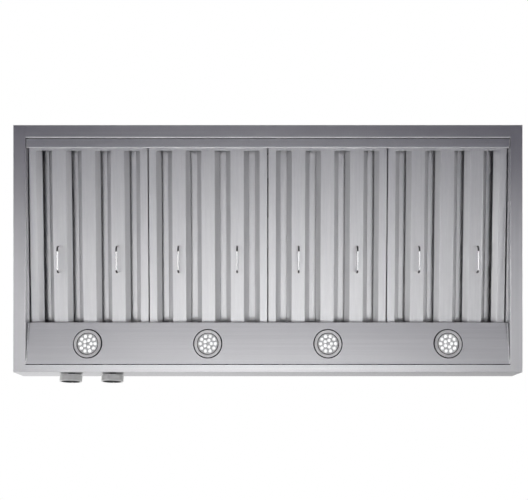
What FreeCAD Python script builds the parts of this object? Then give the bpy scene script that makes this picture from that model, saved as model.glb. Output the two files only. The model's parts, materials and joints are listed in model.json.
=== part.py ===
import FreeCAD, Part

import math
import os
import re
import sys

import Sketcher

# Wall mount range hood, 48 inches wide.
# The origin is on the wall plane, midway along the hood, level with the underside of its rim.
# X runs along the wall, +Y into the wall, +Z up; the cook stands on the -Y side.

sizes = {
    # canopy
    "width": 1219.0,
    "rim_depth": 592.0,
    "body_height": 457.0,
    "top_depth": 305.0,
    "sheet": 1.2,
    "rim_side": 28.5,
    "rim_back": 30.0,
    "rim_front": 21.0,
    "side_return": 44.0,
    "spacer_thick": 3.5,
    "spacer_lead": 8.0,
    "spacer_gap": 1.0,
    "fascia_rise": 66.0,
    "fascia_angle": 18.9,
    # wall fixing
    "wall_hole_radius": 4.5,
    "wall_hole_spacing_x": 812.8,
    "wall_hole_low": 110.0,
    "wall_hole_from_top": 47.0,
    # light panel
    "light_run": 96.0,
    "light_angle": 8.2,
    "light_hem": 10.0,
    "light_ledge": 16.0,
    "panel_end_gap": 1.0,
    # grease trough
    "trough_back": 10.0,
    "trough_front": 55.0,
    "trough_lip": 6.5,
    "trough_rear_lip": 3.5,
    # baffle filters
    "seat_gap": 0.3,
    "filter_angle": 2.6,
    "filter_back": 36.0,
    "filter_overhang": 19.5,
    "filter_thick": 26.0,
    "filter_sheet": 0.8,
    "filter_side_gap": 1.5,
    "filter_gap": 2.0,
    "frame_side_flange": 18.5,
    "frame_rear_flange": 25.0,
    "frame_front_flange": 17.0,
    "frame_top_flange": 12.0,
    "slat_face": 32.0,
    "flank_run": 11.0,
    "flank_rise": 9.5,
    "rear_web": 36.0,
    "rear_drop": 12.0,
    "rear_spread": 2.0,
    "handle_length": 66.0,
    "handle_drop": 24.0,
    "handle_wire": 4.0,
    "handle_bend": 6.0,
    "handle_place": 286.0,
    # lamps
    "lamp_pitch": 289.0,
    "lamp_from_rim": 46.0,
    "lamp_hole_radius": 29.2,
    "bezel_radius": 34.0,
    "bezel_drop": 3.0,
    "bezel_chamfer": 1.2,
    "bezel_mouth": 26.0,
    "bezel_throat": 22.6,
    "bezel_neck_gap": 0.4,
    "bezel_neck": 12.0,
    "lens_radius": 25.5,
    "lens_recess": 4.0,
    "lens_gap": 0.2,
    "lens_thick": 3.5,
    "led_size": 4.2,
    "led_proud": 0.8,
    "led_outer_ring": 16.2,
    "led_inner_ring": 7.0,
    "can_height": 26.0,
    "can_core_radius": 19.0,
    "can_fin": 2.0,
    "can_fin_pitch": 8.0,
    # knobs and switches
    "fan_knob_x": 480.0,
    "light_knob_x": 379.0,
    "knob_up": 33.0,
    "knob_radius": 26.0,
    "knob_length": 19.5,
    "knob_gap": 1.2,
    "knob_chamfer": 2.5,
    "knob_recess_radius": 12.0,
    "knob_recess": 6.0,
    "knob_dish_radius": 20.0,
    "knob_dish": 0.8,
    "knob_mark_width": 2.4,
    "knob_mark_start": 10.0,
    "knob_mark_depth": 1.6,
    "stem_radius": 3.0,
    "stem_fit": 0.05,
    "stem_reach": 14.0,
    "stem_depth": 10.0,
    "bushing_radius": 4.8,
    "bushing_gap": 0.3,
    "bushing_proud": 4.5,
    "nut_radius": 8.0,
    "nut_thick": 2.5,
    "switch_wide": 28.0,
    "switch_depth": 20.0,
    # twin blower
    "blower_from_wall": 155.0,
    "blower_up": 250.0,
    "blower_sheet": 1.0,
    "scroll_start": 108.0,
    "scroll_step": 8.0,
    "scroll_width": 110.0,
    "scroll_neck": 135.0,
    "eye_radius": 78.0,
    "eye_fit": 0.3,
    "eye_flange": 14.0,
    "eye_throat": 9.0,
    "eye_flare": 5.0,
    "wheel_radius": 95.0,
    "wheel_width": 88.0,
    "wheel_plate": 1.5,
    "wheel_ring": 5.0,
    "hub_radius": 15.0,
    "hub_length": 24.0,
    "blade_depth": 15.0,
    "blade_sheet": 0.9,
    "blade_curve": 40.0,
    "blade_sweep": 6.0,
    "blade_edge": 0.5,
    "wheel_side_gap": 9.0,
    "motor_length": 150.0,
    "motor_radius": 55.0,
    "motor_rib": 4.0,
    "motor_band": 26.0,
    "axle_radius": 6.0,
    "axle_fit": 0.05,
    "axle_gap": 0.3,
    "axle_hole_gap": 2.0,
    "axle_end": 4.0,
    # plenum, duct collar and damper
    "plenum_width": 400.0,
    "plenum_back": 16.0,
    "plenum_front": 280.0,
    "plenum_flange": 12.0,
    "collar_radius": 126.5,
    "collar_wall": 0.8,
    "collar_height": 60.0,
    "collar_flange": 18.0,
    "collar_flange_thick": 1.0,
    "spindle_up": 20.0,
    "spindle_radius": 3.0,
    "spindle_gap": 0.1,
    "flap_gap": 1.7,
    "flap_sheet": 1.0,
    "knuckle_gap": 0.3,
    "knuckle_wall": 1.3,
    "knuckle_length": 20.0,
    "knuckle_place": 70.0,
    "knuckle_side_gap": 0.6,
    # control box and supply inlet
    "box_x": 400.0,
    "box_up": 215.0,
    "box_wide": 170.0,
    "box_deep": 60.0,
    "box_high": 120.0,
    "box_sheet": 1.0,
    "box_cover_lip": 12.0,
    "box_cover_gap": 0.3,
    "box_hole_radius": 11.0,
    "conduit_x": 330.0,
    "conduit_from_wall": 60.0,
    "conduit_hole_radius": 11.1,
    "conduit_gap": 0.3,
    "conduit_wall": 2.0,
    "conduit_head_radius": 16.0,
    "conduit_head": 6.0,
    "conduit_shank": 14.0,
    "conduit_nut": 4.0,
}

filter_count = 4
slat_count = 3
lamp_count = 4
outer_leds = 10
inner_leds = 5
blade_count = 24
can_fins = 2

# Places worked out from the sizes above, as text that the document evaluates.
half_width = "(width / 2)"
inner_half = "(width / 2 - rim_side)"
panel_span = "(width - 2 * sheet)"
rim_span = "(width - 2 * rim_side)"
fascia_lean = "(fascia_rise * tan(fascia_angle))"
fascia_top = f"(rim_depth + {fascia_lean})"
fascia_skin = "(sheet / cos(fascia_angle))"
knob_from_wall = "(rim_depth + knob_up * tan(fascia_angle))"
slope_run = f"(({fascia_top} - top_depth) / (body_height - fascia_rise))"
slope_skin = f"(sheet * sqrt(1 + {slope_run} * {slope_run}))"
light_front = "(rim_depth - rim_front)"
light_back = f"({light_front} - light_run)"
light_skin = "(sheet / cos(light_angle))"
light_low_back = "(sheet + light_run * tan(light_angle))"
trough_top = "(sheet + trough_lip)"
filter_rise = "tan(filter_angle)"
ledge_top = f"({trough_top} + ({light_back} - trough_front) * {filter_rise})"
filter_length = f"(({light_back} + filter_overhang - filter_back) / cos(filter_angle))"
filter_reach = f"({inner_half} - spacer_thick - filter_side_gap)"
filter_wide = f"((2 * {filter_reach} - {filter_count - 1} * filter_gap) / {filter_count})"
slat_gap = f"(({filter_wide} - 2 * frame_side_flange - {slat_count} * slat_face) / {slat_count + 1})"
slat_pitch = f"(slat_face + {slat_gap})"
lamp_from_wall = f"({light_front} - lamp_from_rim)"
lamp_up = "(sheet + lamp_from_rim * tan(light_angle))"
scroll_top = "(blower_up + scroll_neck)"
scroll_wide = "(scroll_start + 3 * scroll_step)"
plenum_high = f"(body_height - sheet - {scroll_top})"
duct_from_wall = "(top_depth / 2)"
damper_up = "(body_height + spindle_up)"
knuckle_bore = "(spindle_radius + knuckle_gap)"
knuckle_radius = f"({knuckle_bore} + knuckle_wall)"

doc = FreeCAD.newDocument("RangeHood")
dims = doc.addObject("Spreadsheet::Sheet", "Dims")
for row, (name, value) in enumerate(sizes.items(), 1):
    dims.set(f"A{row}", name)
    dims.set(f"B{row}", str(value))
    dims.setAlias(f"B{row}", name)
doc.recompute()

pieces = []
upright = FreeCAD.Vector(0, 0, 1)


def bound(text):
    # the expression with each size's name pointing at its cell
    return re.sub(r"[a-z_]+", lambda word: f"Dims.{word[0]}" if word[0] in sizes else word[0], text)


def number(text):
    return float(dims.evalExpression(bound(text)))


def first_turn(axis):
    # one degree, which keeps the axis while the angle follows its expression
    return FreeCAD.Rotation(FreeCAD.Vector(*axis), 1)


def place(item, x, y, z, turn="0", axis=(1, 0, 0)):
    item.Placement = FreeCAD.Placement(FreeCAD.Vector(), first_turn(axis))
    for name, text in (("x", x), ("y", y), ("z", z)):
        item.setExpression(f"Placement.Base.{name}", bound(text))
    item.setExpression("Placement.Rotation.Angle", bound(turn))


def piece(item, label):
    item.Label = label
    pieces.append(item)
    return item


def new_body(label):
    body = doc.addObject("PartDesign::Body", label)
    body.AllowCompound = True
    return piece(body, label)


def hold_point(sketch, edge, end, x, y):
    for kind, text in (("DistanceX", x), ("DistanceY", y)):
        index = sketch.addConstraint(Sketcher.Constraint(kind, -1, 1, edge, end, number(text)))
        sketch.setExpression(f"Constraints[{index}]", bound(text))


def hold_radius(sketch, edge, text):
    index = sketch.addConstraint(Sketcher.Constraint("Radius", edge, number(text)))
    sketch.setExpression(f"Constraints[{index}]", bound(text))


def arc_between(start, end, radius, clockwise):
    if clockwise:
        start, end = end, start
    along = end - start
    left = FreeCAD.Vector(-along.y, along.x, 0).normalize()
    centre = (start + end) / 2 + left * math.sqrt(radius**2 - (along.Length / 2) ** 2)
    angles = [math.atan2(p.y - centre.y, p.x - centre.x) for p in (start, end)]
    return Part.ArcOfCircle(Part.Circle(centre, upright, radius), *angles)


def add_path(sketch, corners, closed=True):
    # A corner is (x, y), or (x, y, radius, way) where the edge after it is an arc turning that way.
    spots = [FreeCAD.Vector(number(c[0]), number(c[1]), 0) for c in corners]
    edges = []
    for i, corner in enumerate(corners if closed else corners[:-1]):
        start, end = spots[i], spots[(i + 1) % len(spots)]
        if len(corner) == 2:
            edges.append((sketch.addGeometry(Part.LineSegment(start, end)), 1, 2))
            continue
        clockwise = corner[3] == "clockwise"
        edge = sketch.addGeometry(arc_between(start, end, number(corner[2]), clockwise))
        hold_radius(sketch, edge, corner[2])
        edges.append((edge, 2, 1) if clockwise else (edge, 1, 2))
    for before, after in zip(edges, edges[1:] + edges[:1] if closed else edges[1:]):
        sketch.addConstraint(Sketcher.Constraint("Coincident", before[0], before[2], after[0], after[1]))
    for i, (edge, first, last) in enumerate(edges):
        hold_point(sketch, edge, first, *corners[i][:2])
    if not closed:
        hold_point(sketch, edges[-1][0], edges[-1][2], *corners[-1][:2])


def add_circle(sketch, x, y, radius):
    centre = FreeCAD.Vector(number(x), number(y), 0)
    edge = sketch.addGeometry(Part.Circle(centre, upright, number(radius)))
    hold_point(sketch, edge, 3, x, y)
    hold_radius(sketch, edge, radius)


def new_sketch(body, plane, paths=(), circles=(), offset="0", closed=True):
    sketch = body.newObject("Sketcher::SketchObject", body.Name + "Sketch")
    support = [f for f in body.Origin.OriginFeatures if f.Role == plane]
    sketch.AttachmentSupport = [(support[0], "")]
    sketch.MapMode = "FlatFace"
    sketch.setExpression("AttachmentOffset.Base.z", bound(offset))
    for path in paths:
        add_path(sketch, path, closed)
    for circle in circles:
        add_circle(sketch, *circle)
    return sketch


def tilt(sketch, y, z, angle):
    # moves the sketch within its plane and off it, then turns it about the plane's own X
    sketch.AttachmentOffset = FreeCAD.Placement(FreeCAD.Vector(), first_turn((1, 0, 0)))
    sketch.setExpression("AttachmentOffset.Base.y", bound(y))
    sketch.setExpression("AttachmentOffset.Base.z", bound(z))
    sketch.setExpression("AttachmentOffset.Rotation.Angle", bound(angle))


def pad(body, sketch, length, side="One side", backwards=False):
    feature = body.newObject("PartDesign::Pad", body.Name + "Pad")
    feature.Profile = sketch
    feature.setExpression("Length", bound(length))
    feature.SideType = side
    feature.Reversed = backwards
    return feature


def pocket_through(body, sketch):
    feature = body.newObject("PartDesign::Pocket", body.Name + "Pocket")
    feature.Profile = sketch
    feature.Type = "ThroughAll"
    feature.SideType = "Symmetric"
    return feature


def pocket(body, sketch, depth, backwards=False):
    feature = body.newObject("PartDesign::Pocket", body.Name + "Pocket")
    feature.Profile = sketch
    feature.setExpression("Length", bound(depth))
    feature.Reversed = backwards
    return feature


def turned(body, profile):
    # a round piece about its own Z axis, from corners (radius, z)
    sketch = new_sketch(body, "XZ_Plane", [profile])
    feature = body.newObject("PartDesign::Revolution", body.Name + "Turned")
    feature.Profile = sketch
    feature.ReferenceAxis = (sketch, ["V_Axis"])
    return feature


def rectangle(x0, x1, y0, y1):
    return [(x0, y0), (x1, y0), (x1, y1), (x0, y1)]


def mirrored(corners):
    return [(f"-({corner[0]})", *corner[1:]) for corner in corners]


def side_panel(label, side):
    # flat web in the outline of the canopy, rim flange folded in below it, return folded up inside
    body = new_body(label)
    web = [
        ("0", "0"),
        ("-rim_depth", "0"),
        (f"-{fascia_top}", "fascia_rise"),
        ("-top_depth", "body_height"),
        ("0", "body_height"),
    ]
    outer = f"{side} * {half_width}"
    inner = f"{side} * {inner_half}"
    web_start = f"{half_width} - sheet" if side > 0 else f"-{half_width}"
    pad(body, new_sketch(body, "YZ_Plane", [web], offset=web_start), "sheet")
    flange = rectangle(inner, outer, "-sheet", f"-(rim_depth - {fascia_skin})")
    pad(body, new_sketch(body, "XY_Plane", [flange]), "sheet")
    fold = rectangle(inner, f"{inner} + {side} * sheet", "-rim_back", f"-{light_front}")
    pad(body, new_sketch(body, "XY_Plane", [fold]), "side_return")
    # a bevelled strip that fills the space beside the outer filter
    face = f"{inner} - {side} * spacer_thick"
    spacer = [(inner, "0"), (face, "spacer_lead"), (face, "side_return"), (inner, "side_return")]
    sketch = new_sketch(body, "XZ_Plane", [spacer], offset="trough_front + spacer_gap")
    pad(body, sketch, f"{light_back} - trough_front - 2 * spacer_gap")


def rear_panel():
    body = new_body("rear_panel")
    web = rectangle(f"-{panel_span} / 2", f"{panel_span} / 2", "0", "body_height - sheet")
    columns = ("-wall_hole_spacing_x / 2", "wall_hole_spacing_x / 2")
    rows = ("wall_hole_low", "body_height - wall_hole_from_top")
    holes = [(x, z, "wall_hole_radius") for x in columns for z in rows]
    pad(body, new_sketch(body, "XZ_Plane", [web], holes), "sheet")
    flange = rectangle(f"-{inner_half}", inner_half, "0", "-rim_back")
    pad(body, new_sketch(body, "XY_Plane", [flange]), "sheet")


def front_fascia():
    # leans out over the cook as it rises, with the front rim folded in below it
    body = new_body("front_fascia")
    web = [
        ("-rim_depth", "0"),
        (f"-{fascia_top}", "fascia_rise"),
        (f"-{fascia_top} + {fascia_skin}", "fascia_rise"),
        (f"-rim_depth + {fascia_skin}", "0"),
    ]
    pad(body, new_sketch(body, "YZ_Plane", [web]), panel_span, "Symmetric")
    flange = rectangle(f"-(rim_depth - {fascia_skin} / 2)", f"-{light_front}", "0", "sheet")
    pad(body, new_sketch(body, "YZ_Plane", [flange]), rim_span, "Symmetric")
    doc.recompute()
    # The knob holes lie square to the sloping face, so their sketch is turned to it.
    holes = [(x, "0", "bushing_radius + stem_fit") for x in ("fan_knob_x", "light_knob_x")]
    sketch = new_sketch(body, "XZ_Plane", circles=holes)
    tilt(sketch, "knob_up", knob_from_wall, "fascia_angle")
    pocket_through(body, sketch)


def canopy_front():
    body = new_body("canopy_front")
    top = f"-(top_depth + sheet * {slope_run})"
    profile = [
        (f"-{fascia_top}", "fascia_rise"),
        (top, "body_height - sheet"),
        (f"{top} + {slope_skin}", "body_height - sheet"),
        (f"-{fascia_top} + {slope_skin}", "fascia_rise"),
    ]
    pad(body, new_sketch(body, "YZ_Plane", [profile]), panel_span, "Symmetric")


def top_panel():
    body = new_body("top_panel")
    profile = [
        ("0", "body_height - sheet"),
        ("0", "body_height"),
        ("-top_depth", "body_height"),
        (f"-(top_depth + sheet * {slope_run})", "body_height - sheet"),
    ]
    pad(body, new_sketch(body, "YZ_Plane", [profile]), panel_span, "Symmetric")
    holes = [
        ("0", f"-{duct_from_wall}", "collar_radius - collar_wall"),
        ("conduit_x", "-conduit_from_wall", "conduit_hole_radius"),
    ]
    pocket_through(body, new_sketch(body, "XY_Plane", circles=holes))


def light_panel():
    # hem on the front rim, sloping face with the lamp holes, riser, ledge under the filters' front ends
    body = new_body("light_panel")
    ledge_end = f"-({light_back} + light_ledge)"
    ledge_end_top = f"({ledge_top} + light_ledge * {filter_rise})"
    profile = [
        (f"-({light_front} + light_hem)", "sheet"),
        (f"-{light_front}", "sheet"),
        (f"-{light_back}", light_low_back),
        (f"-{light_back}", ledge_top),
        (ledge_end, ledge_end_top),
        (ledge_end, f"{ledge_end_top} - sheet"),
        (f"-({light_back} + sheet)", f"{ledge_top} - sheet"),
        (f"-({light_back} + sheet)", f"{light_low_back} + {light_skin} - sheet * tan(light_angle)"),
        (f"-{light_front}", f"sheet + {light_skin}"),
        (f"-({light_front} + light_hem)", f"sheet + {light_skin}"),
    ]
    length = f"{rim_span} - 2 * panel_end_gap"
    pad(body, new_sketch(body, "YZ_Plane", [profile]), length, "Symmetric")
    doc.recompute()
    holes = [(lamp_x(index), "0", "lamp_hole_radius") for index in range(lamp_count)]
    sketch = new_sketch(body, "XY_Plane", circles=holes)
    tilt(sketch, f"-{lamp_from_wall}", lamp_up, "light_angle")
    pocket_through(body, sketch)


def grease_trough():
    body = new_body("grease_trough")
    rear_top = "(sheet + trough_rear_lip)"
    profile = [
        ("-trough_back", "sheet"),
        ("-trough_front", "sheet"),
        ("-trough_front", trough_top),
        ("-(trough_front - sheet)", trough_top),
        ("-(trough_front - sheet)", "2 * sheet"),
        ("-(trough_back + sheet)", "2 * sheet"),
        ("-(trough_back + sheet)", rear_top),
        ("-trough_back", rear_top),
    ]
    length = f"{rim_span} - 2 * panel_end_gap"
    pad(body, new_sketch(body, "YZ_Plane", [profile]), length, "Symmetric")


def seat_filter(body, index):
    # the rear lower edge lies over the trough, and the filter rises towards the cook
    x = f"({index} - {(filter_count - 1) / 2}) * ({filter_wide} + filter_gap)"
    z = f"{trough_top} + seat_gap - (trough_front - filter_back) * {filter_rise}"
    place(body, x, "-filter_back", z, "-filter_angle")


def filter_frame(label, index):
    body = new_body(label)

    def end_rail(flange):
        return [
            ("0", "0"),
            ("0", "filter_thick"),
            ("-frame_top_flange", "filter_thick"),
            ("-frame_top_flange", "filter_thick - filter_sheet"),
            ("-filter_sheet", "filter_thick - filter_sheet"),
            ("-filter_sheet", "filter_sheet"),
            (f"-{flange}", "filter_sheet"),
            (f"-{flange}", "0"),
        ]

    rear_rail = end_rail("frame_rear_flange")
    front_rail = [(f"-{filter_length} - ({y})", z) for y, z in end_rail("frame_front_flange")]
    pad(body, new_sketch(body, "YZ_Plane", [rear_rail, front_rail]), filter_wide, "Symmetric")
    edge = f"{filter_wide} / 2"
    bend = f"{edge} - frame_side_flange"
    rail = [
        (edge, "0"),
        (edge, "filter_thick"),
        (f"{edge} - frame_top_flange", "filter_thick"),
        (f"{edge} - frame_top_flange", "filter_thick - filter_sheet"),
        (f"{edge} - filter_sheet", "filter_thick - filter_sheet"),
        (f"{edge} - filter_sheet", "filter_sheet"),
        (bend, "filter_sheet"),
        (f"{bend} - flank_run", "filter_sheet + flank_rise"),
        (f"{bend} - flank_run", "flank_rise"),
        (bend, "0"),
    ]
    pad(body, new_sketch(body, "XZ_Plane", [rail, mirrored(rail)]), filter_length)
    seat_filter(body, index)


def slat_bank(label, index, profile, centres):
    # folded slats side by side, their ends against the webs of the frame's end rails
    body = new_body(label)
    banks = [[(f"{x} + {centre}", z) for x, z in profile] for centre in centres]
    sketch = new_sketch(body, "XZ_Plane", banks, offset="filter_sheet")
    pad(body, sketch, f"{filter_length} - 2 * filter_sheet")
    seat_filter(body, index)


def front_slats(label, index):
    face = "slat_face / 2"
    wing = f"{face} + flank_run"
    profile = [
        (f"-({face})", "filter_sheet"),
        (face, "filter_sheet"),
        (wing, "filter_sheet + flank_rise"),
        (wing, "2 * filter_sheet + flank_rise"),
        (face, "2 * filter_sheet"),
        (f"-({face})", "2 * filter_sheet"),
        (f"-({wing})", "2 * filter_sheet + flank_rise"),
        (f"-({wing})", "filter_sheet + flank_rise"),
    ]
    centres = [f"({i} - {(slat_count - 1) / 2}) * {slat_pitch}" for i in range(slat_count)]
    slat_bank(label, index, profile, centres)


def rear_slats(label, index):
    # channels open to the front, whose walls hang into the hollows of the front slats
    web = "rear_web / 2"
    foot = f"{web} + rear_spread"
    top = "filter_thick - filter_sheet"
    low = f"{top} - rear_drop"
    profile = [
        (f"-({web})", top),
        (f"-({foot})", low),
        (f"-({foot} - filter_sheet)", low),
        (f"-({web} - filter_sheet)", f"{top} - filter_sheet"),
        (f"{web} - filter_sheet", f"{top} - filter_sheet"),
        (f"{foot} - filter_sheet", low),
        (foot, low),
        (web, top),
    ]
    centres = [f"({i} - {slat_count / 2}) * {slat_pitch}" for i in range(slat_count + 1)]
    slat_bank(label, index, profile, centres)


def filter_handles(label, index):
    # two bent wires, each welded by its ends to the face of an outer front slat
    body = new_body(label)
    reach = "(handle_length / 2 - handle_wire / 2)"
    bar = "-(handle_drop - handle_wire / 2)"
    path = [
        (f"-handle_place + {reach}", "filter_sheet"),
        (f"-handle_place + {reach}", f"{bar} + handle_bend"),
        (f"-handle_place + {reach} - handle_bend", bar),
        (f"-handle_place - {reach} + handle_bend", bar),
        (f"-handle_place - {reach}", f"{bar} + handle_bend"),
        (f"-handle_place - {reach}", "filter_sheet"),
    ]
    for side in (-1, 1):
        x = f"{side} * {(slat_count - 1) / 2} * {slat_pitch}"
        spine = new_sketch(body, "YZ_Plane", [path], offset=x, closed=False)
        circle = (x, path[0][0], "handle_wire / 2")
        end = new_sketch(body, "XY_Plane", circles=[circle], offset="filter_sheet")
        doc.recompute()
        wire = body.newObject("PartDesign::AdditivePipe", body.Name + "Wire")
        wire.Profile = end
        wire.Spine = (spine, [f"Edge{i}" for i in range(1, len(path))])
        wire.Transition = "Right corner"
        doc.recompute()
    seat_filter(body, index)


def lamp_x(index):
    return f"({index} - {(lamp_count - 1) / 2}) * lamp_pitch"


def seat_lamp(body, index):
    # square to the light panel, with the panel's lower face at the lamp's own z = 0
    place(body, lamp_x(index), f"-{lamp_from_wall}", lamp_up, "light_angle")


def lamp(index):
    label = f"lamp_{index + 1}"
    neck = "(lamp_hole_radius - bezel_neck_gap)"
    bezel = new_body(label + "_bezel")
    turned(
        bezel,
        [
            ("bezel_mouth", "-bezel_drop"),
            ("bezel_radius - bezel_chamfer", "-bezel_drop"),
            ("bezel_radius", "bezel_chamfer - bezel_drop"),
            ("bezel_radius", "0"),
            (neck, "0"),
            (neck, "bezel_neck"),
            ("lens_radius", "bezel_neck"),
            ("lens_radius", "lens_recess"),
            ("bezel_throat", "lens_recess"),
        ],
    )
    seat_lamp(bezel, index)

    # the lens lies on the throat of the bezel's cone and shows its two rings of emitters
    lens = new_body(label + "_lens")
    turned(lens, rectangle("0", "lens_radius - lens_gap", "lens_recess", "lens_recess + lens_thick"))
    rings = (("led_outer_ring", outer_leds), ("led_inner_ring", inner_leds))
    spots = [
        (f"-{ring} * cos({360 * i / count})", f"{ring} * sin({360 * i / count})")
        for ring, count in rings
        for i in range(count)
    ]
    half = "led_size / 2"
    leds = [rectangle(f"{x} - {half}", f"{x} + {half}", f"{y} - {half}", f"{y} + {half}") for x, y in spots]
    pad(lens, new_sketch(lens, "XY_Plane", leds, offset="lens_recess"), "led_proud", backwards=True)
    seat_lamp(lens, index)

    # finned can that takes the heat away, standing on the bezel's neck
    can = new_body(label + "_housing")
    profile = [("0", "bezel_neck"), (neck, "bezel_neck")]
    for fin in range(can_fins):
        top = f"bezel_neck + can_height - {can_fins - 1 - fin} * can_fin_pitch"
        if fin:
            profile += [("can_core_radius", f"{top} - can_fin"), (neck, f"{top} - can_fin")]
        profile += [(neck, top)]
        if fin < can_fins - 1:
            profile += [("can_core_radius", top)]
    profile += [("0", "bezel_neck + can_height")]
    turned(can, profile)
    seat_lamp(can, index)


def seat_knob(body, x):
    # own +Z out of the fascia's face, with the face at z = 0
    place(body, x, f"-{knob_from_wall}", "knob_up", "90 + fascia_angle")


def control(label, x):
    bore = "stem_radius + stem_fit"
    face = "knob_gap + knob_length"
    knob = new_body(label + "_knob")
    turned(
        knob,
        [
            ("knob_recess_radius", "knob_gap"),
            ("knob_radius", "knob_gap"),
            ("knob_radius", f"{face} - knob_chamfer"),
            ("knob_radius - knob_chamfer", face),
            ("knob_dish_radius", face),
            ("knob_dish_radius - knob_dish", f"{face} - knob_dish"),
            ("0", f"{face} - knob_dish"),
            ("0", "stem_reach"),
            (bore, "stem_reach"),
            (bore, "knob_gap + knob_recess"),
            ("knob_recess_radius", "knob_gap + knob_recess"),
        ],
    )
    doc.recompute()
    mark_half = "knob_mark_width / 2"
    mark = rectangle(f"-{mark_half}", mark_half, "knob_mark_start", "knob_radius + knob_chamfer")
    pocket(knob, new_sketch(knob, "XY_Plane", [mark], offset=face), "knob_mark_depth")
    seat_knob(knob, x)

    stem = new_body(label + "_knob_stem")
    turned(stem, rectangle("0", "stem_radius", "-sheet - stem_depth", "stem_reach"))
    seat_knob(stem, x)

    switch = new_body(label + "_switch")
    hollow = "stem_radius + bushing_gap"
    well = "-sheet - stem_depth - bushing_gap"
    turned(
        switch,
        [
            ("0", "-sheet - switch_depth"),
            ("bushing_radius", "-sheet - switch_depth"),
            ("bushing_radius", "0"),
            ("nut_radius", "0"),
            ("nut_radius", "nut_thick"),
            ("bushing_radius", "nut_thick"),
            ("bushing_radius", "bushing_proud"),
            (hollow, "bushing_proud"),
            (hollow, well),
            ("0", well),
        ],
    )
    doc.recompute()
    half = "switch_wide / 2"
    square = rectangle(f"-{half}", half, f"-{half}", half)
    core = ("0", "0", "bushing_radius")
    housing = new_sketch(switch, "XY_Plane", [square], [core], offset="-sheet")
    pad(switch, housing, "switch_depth", backwards=True)
    seat_knob(switch, x)


def seat_blower(body):
    # own X to the wall, own Y up, own Z along the hood's X
    place(body, "0", "-blower_from_wall", "blower_up", "120", (1, 1, 1))


def scroll_outline(inset, neck):
    # Each of three quarters is an arc one step wider than the last, then the neck goes straight up.
    first = f"(scroll_start - {inset})"
    second = f"({first} + scroll_step)"
    third = f"({second} + scroll_step)"
    back = f"({scroll_wide} - {inset})"
    tongue = f"sqrt({first} * {first} - {inset} * {inset})"
    return [
        (back, neck),
        (inset, neck),
        (inset, tongue, first, "anticlockwise"),
        (f"-{first}", "0", second, "anticlockwise"),
        ("scroll_step", f"-{second}", third, "anticlockwise"),
        (back, "scroll_step"),
    ]


def scroll_housing(label, side):
    # hollow scroll, open at the top of its neck, with the axle's hole in one plate and the eye in the other
    body = new_body(label)
    motor_plate = "motor_length / 2"
    eye_plate = f"{motor_plate} + scroll_width - blower_sheet"
    outline = scroll_outline("0", "scroll_neck")
    sketch = new_sketch(body, "XY_Plane", [outline], offset=f"{side} * {motor_plate}")
    pad(body, sketch, "scroll_width", backwards=side < 0)
    doc.recompute()
    hollow = scroll_outline("blower_sheet", "scroll_neck + blower_sheet")
    cuts = [
        ([hollow], (), f"{motor_plate} + blower_sheet", "scroll_width - 2 * blower_sheet"),
        ((), [("0", "0", "axle_radius + axle_hole_gap")], motor_plate, "blower_sheet"),
        ((), [("0", "0", "eye_radius + eye_flare + eye_fit")], eye_plate, "blower_sheet"),
    ]
    for paths, circles, start, depth in cuts:
        sketch = new_sketch(body, "XY_Plane", paths, circles, f"{side} * ({start})")
        pocket(body, sketch, depth, backwards=side > 0)
    seat_blower(body)


def inlet_ring(label, side):
    # inlet mouth: a flange on the housing's outer plate, flared into a throat through its eye
    body = new_body(label)
    face = "(motor_length / 2 + scroll_width)"
    outside = f"({face} + blower_sheet)"
    mouth = "(eye_radius + eye_flare)"
    bend = f"({outside} - eye_flare)"
    end = f"({face} - eye_throat)"
    corners = [
        (f"{mouth} + eye_flange", face),
        (f"{mouth} + eye_flange", outside),
        (mouth, outside),
        ("eye_radius", bend),
        ("eye_radius", end),
        ("eye_radius + blower_sheet", end),
        ("eye_radius + blower_sheet", bend),
        (mouth, face),
    ]
    turned(body, [(radius, f"{side} * {z}") for radius, z in corners])
    seat_blower(body)


def fan_wheel(label, side):
    # squirrel cage: a plate with its hub on the motor side, forward curved blades, a ring at the eye
    body = new_body(label)
    inward = side < 0
    start = f"{side} * (motor_length / 2 + blower_sheet + wheel_side_gap)"
    bore = ("0", "0", "axle_radius + axle_fit")
    for radius, length in (("wheel_radius", "wheel_plate"), ("hub_radius", "hub_length")):
        disc = new_sketch(body, "XY_Plane", circles=[("0", "0", radius), bore], offset=start)
        pad(body, disc, length, backwards=inward)
    root = "wheel_radius - blade_depth"
    tip_x = "(wheel_radius - blade_edge) * cos(blade_sweep)"
    tip_y = "(wheel_radius - blade_edge) * sin(blade_sweep)"
    blade = [
        (root, "0", "blade_curve", "anticlockwise"),
        (tip_x, tip_y),
        (tip_x, f"{tip_y} - blade_sheet", "blade_curve", "clockwise"),
        (root, "-blade_sheet"),
    ]
    sketch = new_sketch(body, "XY_Plane", [blade], offset=start)
    first = pad(body, sketch, "wheel_width", backwards=inward)
    doc.recompute()
    cage = body.newObject("PartDesign::PolarPattern", body.Name + "Cage")
    cage.Originals = [first]
    cage.Axis = (sketch, ["N_Axis"])
    cage.Angle = 360
    cage.Occurrences = blade_count
    body.Tip = cage
    doc.recompute()
    ring = [("0", "0", "wheel_radius"), ("0", "0", "wheel_radius - wheel_ring")]
    ring_start = f"{start} + {side} * (wheel_width - wheel_plate)"
    ring_sketch = new_sketch(body, "XY_Plane", circles=ring, offset=ring_start)
    pad(body, ring_sketch, "wheel_plate", backwards=inward)
    seat_blower(body)


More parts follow.
